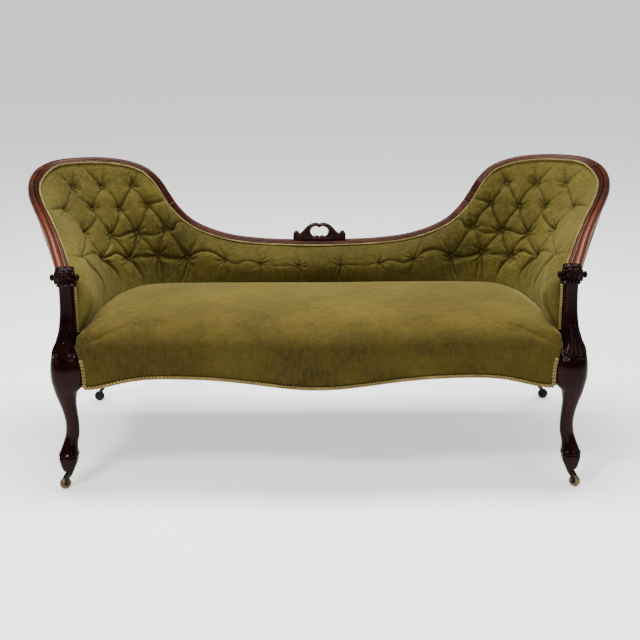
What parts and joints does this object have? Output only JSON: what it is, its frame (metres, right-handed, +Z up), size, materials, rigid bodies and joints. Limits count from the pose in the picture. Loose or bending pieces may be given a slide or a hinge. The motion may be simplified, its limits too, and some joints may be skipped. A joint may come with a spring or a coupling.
{
  "type": "spoon-back settee",
  "caption": "Low serpentine settee with high rounded ends, carved show-wood frame, sprung velvet seat, deep-buttoned velvet back and swivel castors.",
  "frame": {"origin": "on the floor, at the middle of the settee's overall width and depth", "axes": "+Z up, +X along the settee to the sitter's left, and the front faces -Y"},
  "size_m": [1.809, 0.7944, 0.8701],
  "materials": {
    "dark_rosewood": "french polished, carved, near black in the hollows",
    "polished_rail": "french polished, red brown, moulded",
    "beech": "plain sawn, unpolished",
    "iron_screw": "dull",
    "jute": "coarse weave",
    "spring_wire": "copper washed",
    "seat_velvet": "short pile velvet, soft sheen",
    "back_velvet": "short pile velvet, deep buttoned",
    "outside_cloth": "short pile velvet, pulled flat",
    "black_cloth": "thin black calico",
    "gimp": "woven braid",
    "castor_iron": "dark, lightly worn",
    "castor_brass": "dull, worn tread"
  },
  "bodies": {
    "frame": {"front_leg_left": "dark_rosewood", "front_leg_right": "dark_rosewood", "rear_leg_left": "dark_rosewood", "rear_leg_right": "dark_rosewood", "arm_scroll_left": "dark_rosewood", "arm_scroll_right": "dark_rosewood", "arm_rail_left": "polished_rail", "arm_rail_right": "polished_rail", "top_rail_left": "polished_rail", "top_rail_right": "polished_rail", "top_rail_centre": "polished_rail", "crest_carving": "dark_rosewood", "rail_dowels": "beech", "front_seat_rail": "beech", "rear_seat_rail": "beech", "side_rail_left": "beech", "side_rail_right": "beech", "seat_cross_braces": "beech", "corner_blocks": "beech", "corner_block_screws": "iron_screw", "back_stiles": "beech", "back_uprights": "beech", "arm_uprights": "beech", "tacking_rail": "beech", "seat_webbing": "jute", "seat_springs": "spring_wire", "spring_hessian": "jute", "seat_cushion": "seat_velvet", "bottom_cloth": "black_cloth", "back_pad": "back_velvet", "back_buttons": "back_velvet", "outside_back_cloth": "outside_cloth", "back_gimp": "gimp", "seat_gimp": "gimp", "arm_gimp": "gimp", "outside_gimp": "gimp", "castor_plate_fl": "castor_iron", "castor_plate_fr": "castor_iron", "castor_plate_rl": "castor_iron", "castor_plate_rr": "castor_iron", "castor_screws": "iron_screw"},
    "horn_fl": {"castor_horn_fl": "castor_iron", "castor_axle_fl": "castor_iron"},
    "wheel_fl": {"castor_wheel_fl": "castor_brass"},
    "horn_fr": {"castor_horn_fr": "castor_iron", "castor_axle_fr": "castor_iron"},
    "wheel_fr": {"castor_wheel_fr": "castor_brass"},
    "horn_rl": {"castor_horn_rl": "castor_iron", "castor_axle_rl": "castor_iron"},
    "wheel_rl": {"castor_wheel_rl": "castor_brass"},
    "horn_rr": {"castor_horn_rr": "castor_iron", "castor_axle_rr": "castor_iron"},
    "wheel_rr": {"castor_wheel_rr": "castor_brass"}
  },
  "joints": [
    {"name": "swivel_fl", "type": "hinge", "parent": "frame", "child": "horn_fl", "pos_m": [-0.735, -0.3428, 0.05], "axis": [0, 0, 1], "continuous": true},
    {"name": "roll_fl", "type": "hinge", "parent": "horn_fl", "child": "wheel_fl", "pos_m": [-0.74682, -0.35203, 0.017], "axis": [-0.6157, 0.788, 0], "continuous": true},
    {"name": "swivel_fr", "type": "hinge", "parent": "frame", "child": "horn_fr", "pos_m": [0.735, -0.3428, 0.05], "axis": [0, 0, 1], "continuous": true},
    {"name": "roll_fr", "type": "hinge", "parent": "horn_fr", "child": "wheel_fr", "pos_m": [0.74682, -0.35203, 0.017], "axis": [0.6157, 0.788, 0], "continuous": true},
    {"name": "swivel_rl", "type": "hinge", "parent": "frame", "child": "horn_rl", "pos_m": [-0.764, 0.3792, 0.05], "axis": [0, 0, 1], "continuous": true},
    {"name": "roll_rl", "type": "hinge", "parent": "horn_rl", "child": "wheel_rl", "pos_m": [-0.779, 0.3792, 0.017], "axis": [0, 1, 0], "continuous": true},
    {"name": "swivel_rr", "type": "hinge", "parent": "frame", "child": "horn_rr", "pos_m": [0.764, 0.3792, 0.05], "axis": [0, 0, 1], "continuous": true},
    {"name": "roll_rr", "type": "hinge", "parent": "horn_rr", "child": "wheel_rr", "pos_m": [0.779, 0.3792, 0.017], "axis": [0, 1, 0], "continuous": true}
  ]
}
